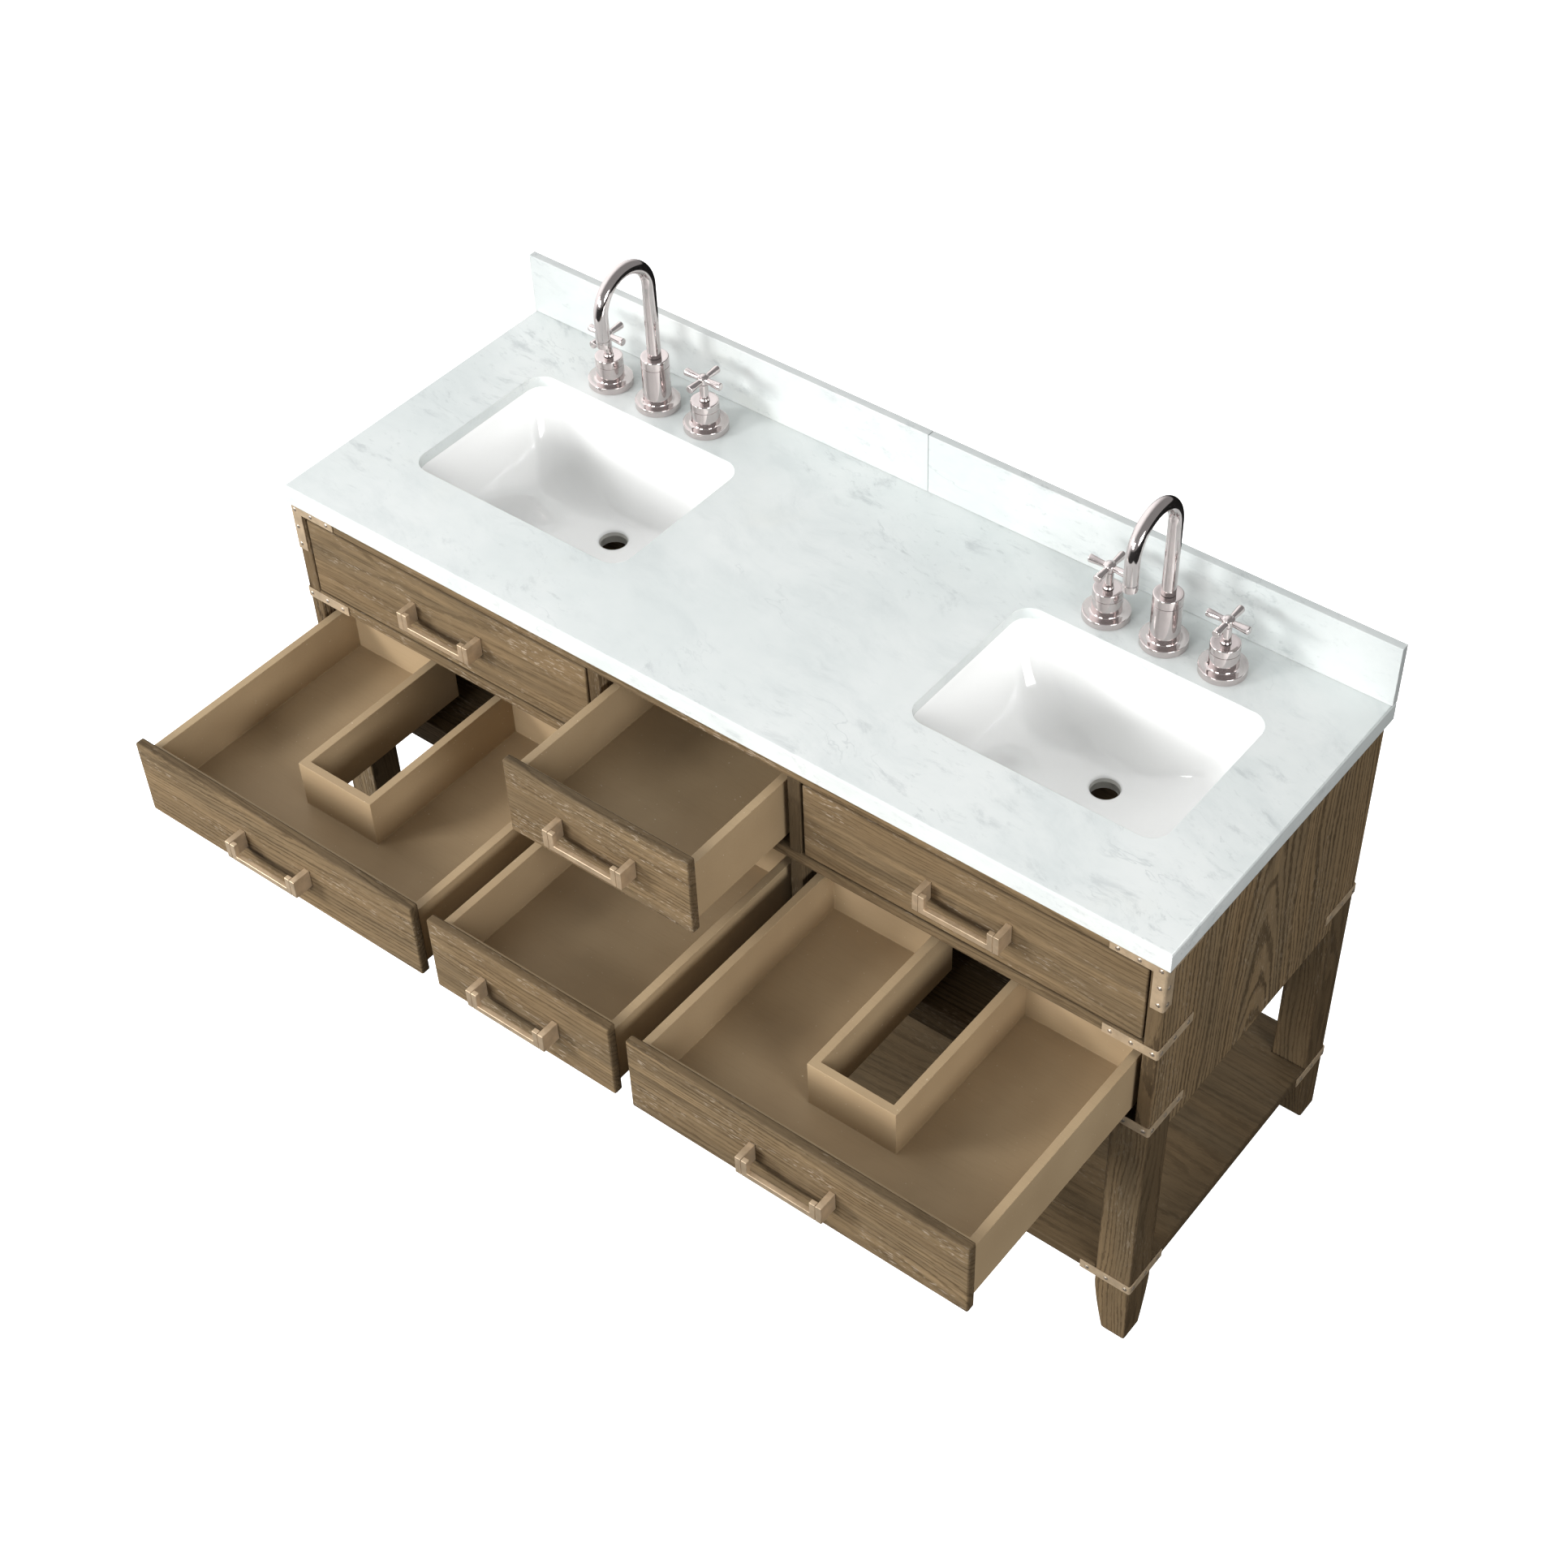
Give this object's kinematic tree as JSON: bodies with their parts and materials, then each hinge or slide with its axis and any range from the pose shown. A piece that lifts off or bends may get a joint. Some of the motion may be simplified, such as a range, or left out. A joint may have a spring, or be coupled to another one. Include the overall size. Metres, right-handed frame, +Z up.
{
  "type": "bathroom vanity cabinet",
  "caption": "Freestanding oak vanity with a marble top, undermount bowls, widespread taps, bronze straps, an open shelf and drawers standing open, the side ones notched for pipes.",
  "frame": {"origin": "on the floor, under the middle of the whole footprint with the drawers as they stand open", "axes": "+X to the right seen from the front, +Y towards the wall behind, +Z up; drawers pull out towards -Y"},
  "size_m": [1.524, 0.9606, 1.1309],
  "materials": {
    "back_panel": "wire-brushed grey-brown oak, satin",
    "backsplash_left": "polished white marble with soft grey veins",
    "backsplash_right": "polished white marble with soft grey veins",
    "bottom_rail": "wire-brushed grey-brown oak, satin",
    "bracket_top_left": "satin antique bronze",
    "bracket_top_right": "satin antique bronze",
    "cabinet_floor": "wire-brushed grey-brown oak, satin",
    "cold_handle_left": "polished nickel",
    "cold_handle_right": "polished nickel",
    "cold_valve_left": "polished nickel",
    "cold_valve_right": "polished nickel",
    "countertop": "polished white marble with soft grey veins",
    "divider_left": "wire-brushed grey-brown oak, satin",
    "divider_right": "wire-brushed grey-brown oak, satin",
    "drawer_box_centre_lower": "matte tan paint",
    "drawer_box_centre_upper": "matte tan paint",
    "drawer_box_left": "matte tan paint",
    "drawer_box_right": "matte tan paint",
    "drawer_front_centre_lower": "wire-brushed grey-brown oak, satin",
    "drawer_front_centre_upper": "wire-brushed grey-brown oak, satin",
    "drawer_front_left": "wire-brushed grey-brown oak, satin",
    "drawer_front_right": "wire-brushed grey-brown oak, satin",
    "false_front_left": "wire-brushed grey-brown oak, satin",
    "false_front_right": "wire-brushed grey-brown oak, satin",
    "hot_handle_left": "polished nickel",
    "hot_handle_right": "polished nickel",
    "hot_valve_left": "polished nickel",
    "hot_valve_right": "polished nickel",
    "leg_back_left": "wire-brushed grey-brown oak, satin",
    "leg_back_right": "wire-brushed grey-brown oak, satin",
    "leg_front_left": "wire-brushed grey-brown oak, satin",
    "leg_front_right": "wire-brushed grey-brown oak, satin",
    "middle_rail": "wire-brushed grey-brown oak, satin",
    "pull_drawer_centre_lower": "satin antique bronze",
    "pull_drawer_centre_upper": "satin antique bronze",
    "pull_drawer_left": "satin antique bronze",
    "pull_drawer_right": "satin antique bronze",
    "pull_false_left": "satin antique bronze",
    "pull_false_right": "satin antique bronze",
    "shelf": "wire-brushed grey-brown oak, satin",
    "side_panel_left": "wire-brushed grey-brown oak, satin",
    "side_panel_right": "wire-brushed grey-brown oak, satin",
    "sink_bowl_left": "glossy white glaze",
    "sink_bowl_right": "glossy white glaze",
    "spout_base_left": "polished nickel",
    "spout_base_right": "polished nickel",
    "spout_left": "polished nickel",
    "spout_right": "polished nickel",
    "strap_back_lower_left": "satin antique bronze",
    "strap_back_lower_right": "satin antique bronze",
    "strap_back_shelf_left": "satin antique bronze",
    "strap_back_shelf_right": "satin antique bronze",
    "strap_lower_left": "satin antique bronze",
    "strap_lower_right": "satin antique bronze",
    "strap_middle_left": "satin antique bronze",
    "strap_middle_right": "satin antique bronze",
    "strap_shelf_left": "satin antique bronze",
    "strap_shelf_right": "satin antique bronze",
    "top_rail": "wire-brushed grey-brown oak, satin"
  },
  "bodies": {
    "vanity": {"back_panel": "back_panel", "backsplash_left": "backsplash_left", "backsplash_right": "backsplash_right", "bottom_rail": "bottom_rail", "bracket_top_left": "bracket_top_left", "bracket_top_right": "bracket_top_right", "cabinet_floor": "cabinet_floor", "cold_valve_left": "cold_valve_left", "cold_valve_right": "cold_valve_right", "countertop": "countertop", "divider_left": "divider_left", "divider_right": "divider_right", "false_front_left": "false_front_left", "false_front_right": "false_front_right", "hot_valve_left": "hot_valve_left", "hot_valve_right": "hot_valve_right", "leg_back_left": "leg_back_left", "leg_back_right": "leg_back_right", "leg_front_left": "leg_front_left", "leg_front_right": "leg_front_right", "middle_rail": "middle_rail", "pull_false_left": "pull_false_left", "pull_false_right": "pull_false_right", "shelf": "shelf", "side_panel_left": "side_panel_left", "side_panel_right": "side_panel_right", "sink_bowl_left": "sink_bowl_left", "sink_bowl_right": "sink_bowl_right", "spout_base_left": "spout_base_left", "spout_base_right": "spout_base_right", "strap_back_lower_left": "strap_back_lower_left", "strap_back_lower_right": "strap_back_lower_right", "strap_back_shelf_left": "strap_back_shelf_left", "strap_back_shelf_right": "strap_back_shelf_right", "strap_lower_left": "strap_lower_left", "strap_lower_right": "strap_lower_right", "strap_middle_left": "strap_middle_left", "strap_middle_right": "strap_middle_right", "strap_shelf_left": "strap_shelf_left", "strap_shelf_right": "strap_shelf_right", "top_rail": "top_rail"},
    "drawer_left": {"drawer_front_left": "drawer_front_left", "drawer_box_left": "drawer_box_left", "pull_drawer_left": "pull_drawer_left"},
    "drawer_right": {"drawer_front_right": "drawer_front_right", "drawer_box_right": "drawer_box_right", "pull_drawer_right": "pull_drawer_right"},
    "drawer_centre_upper": {"drawer_front_centre_upper": "drawer_front_centre_upper", "drawer_box_centre_upper": "drawer_box_centre_upper", "pull_drawer_centre_upper": "pull_drawer_centre_upper"},
    "drawer_centre_lower": {"drawer_front_centre_lower": "drawer_front_centre_lower", "drawer_box_centre_lower": "drawer_box_centre_lower", "pull_drawer_centre_lower": "pull_drawer_centre_lower"},
    "tap_hot_left": {"hot_handle_left": "hot_handle_left"},
    "tap_cold_left": {"cold_handle_left": "cold_handle_left"},
    "tap_spout_left": {"spout_left": "spout_left"},
    "tap_hot_right": {"hot_handle_right": "hot_handle_right"},
    "tap_cold_right": {"cold_handle_right": "cold_handle_right"},
    "tap_spout_right": {"spout_right": "spout_right"}
  },
  "joints": [
    {"name": "drawer_left_slide", "type": "slide", "parent": "vanity", "child": "drawer_left", "axis": [0, 1, 0], "range_m": [-0.02, 0.375]},
    {"name": "drawer_right_slide", "type": "slide", "parent": "vanity", "child": "drawer_right", "axis": [0, 1, 0], "range_m": [-0.02, 0.375]},
    {"name": "drawer_centre_lower_slide", "type": "slide", "parent": "vanity", "child": "drawer_centre_lower", "axis": [0, 1, 0], "range_m": [-0.02, 0.375]},
    {"name": "drawer_centre_upper_slide", "type": "slide", "parent": "vanity", "child": "drawer_centre_upper", "axis": [0, 1, 0], "range_m": [-0.195, 0.2]},
    {"name": "hot_turn_left", "type": "hinge", "parent": "vanity", "child": "tap_hot_left", "pos_m": [-0.5425, 0.3952, 0.9065], "axis": [0, 0, 1], "range_deg": [0, 90]},
    {"name": "cold_turn_left", "type": "hinge", "parent": "vanity", "child": "tap_cold_left", "pos_m": [-0.3555, 0.3952, 0.9065], "axis": [0, 0, 1], "range_deg": [-90, 0]},
    {"name": "spout_turn_left", "type": "hinge", "parent": "vanity", "child": "tap_spout_left", "pos_m": [-0.449, 0.3952, 0.9443], "axis": [0, 0, 1], "range_deg": [-60, 60]},
    {"name": "hot_turn_right", "type": "hinge", "parent": "vanity", "child": "tap_hot_right", "pos_m": [0.3555, 0.3952, 0.9065], "axis": [0, 0, 1], "range_deg": [0, 90]},
    {"name": "cold_turn_right", "type": "hinge", "parent": "vanity", "child": "tap_cold_right", "pos_m": [0.5425, 0.3952, 0.9065], "axis": [0, 0, 1], "range_deg": [-90, 0]},
    {"name": "spout_turn_right", "type": "hinge", "parent": "vanity", "child": "tap_spout_right", "pos_m": [0.449, 0.3952, 0.9443], "axis": [0, 0, 1], "range_deg": [-60, 60]}
  ]
}
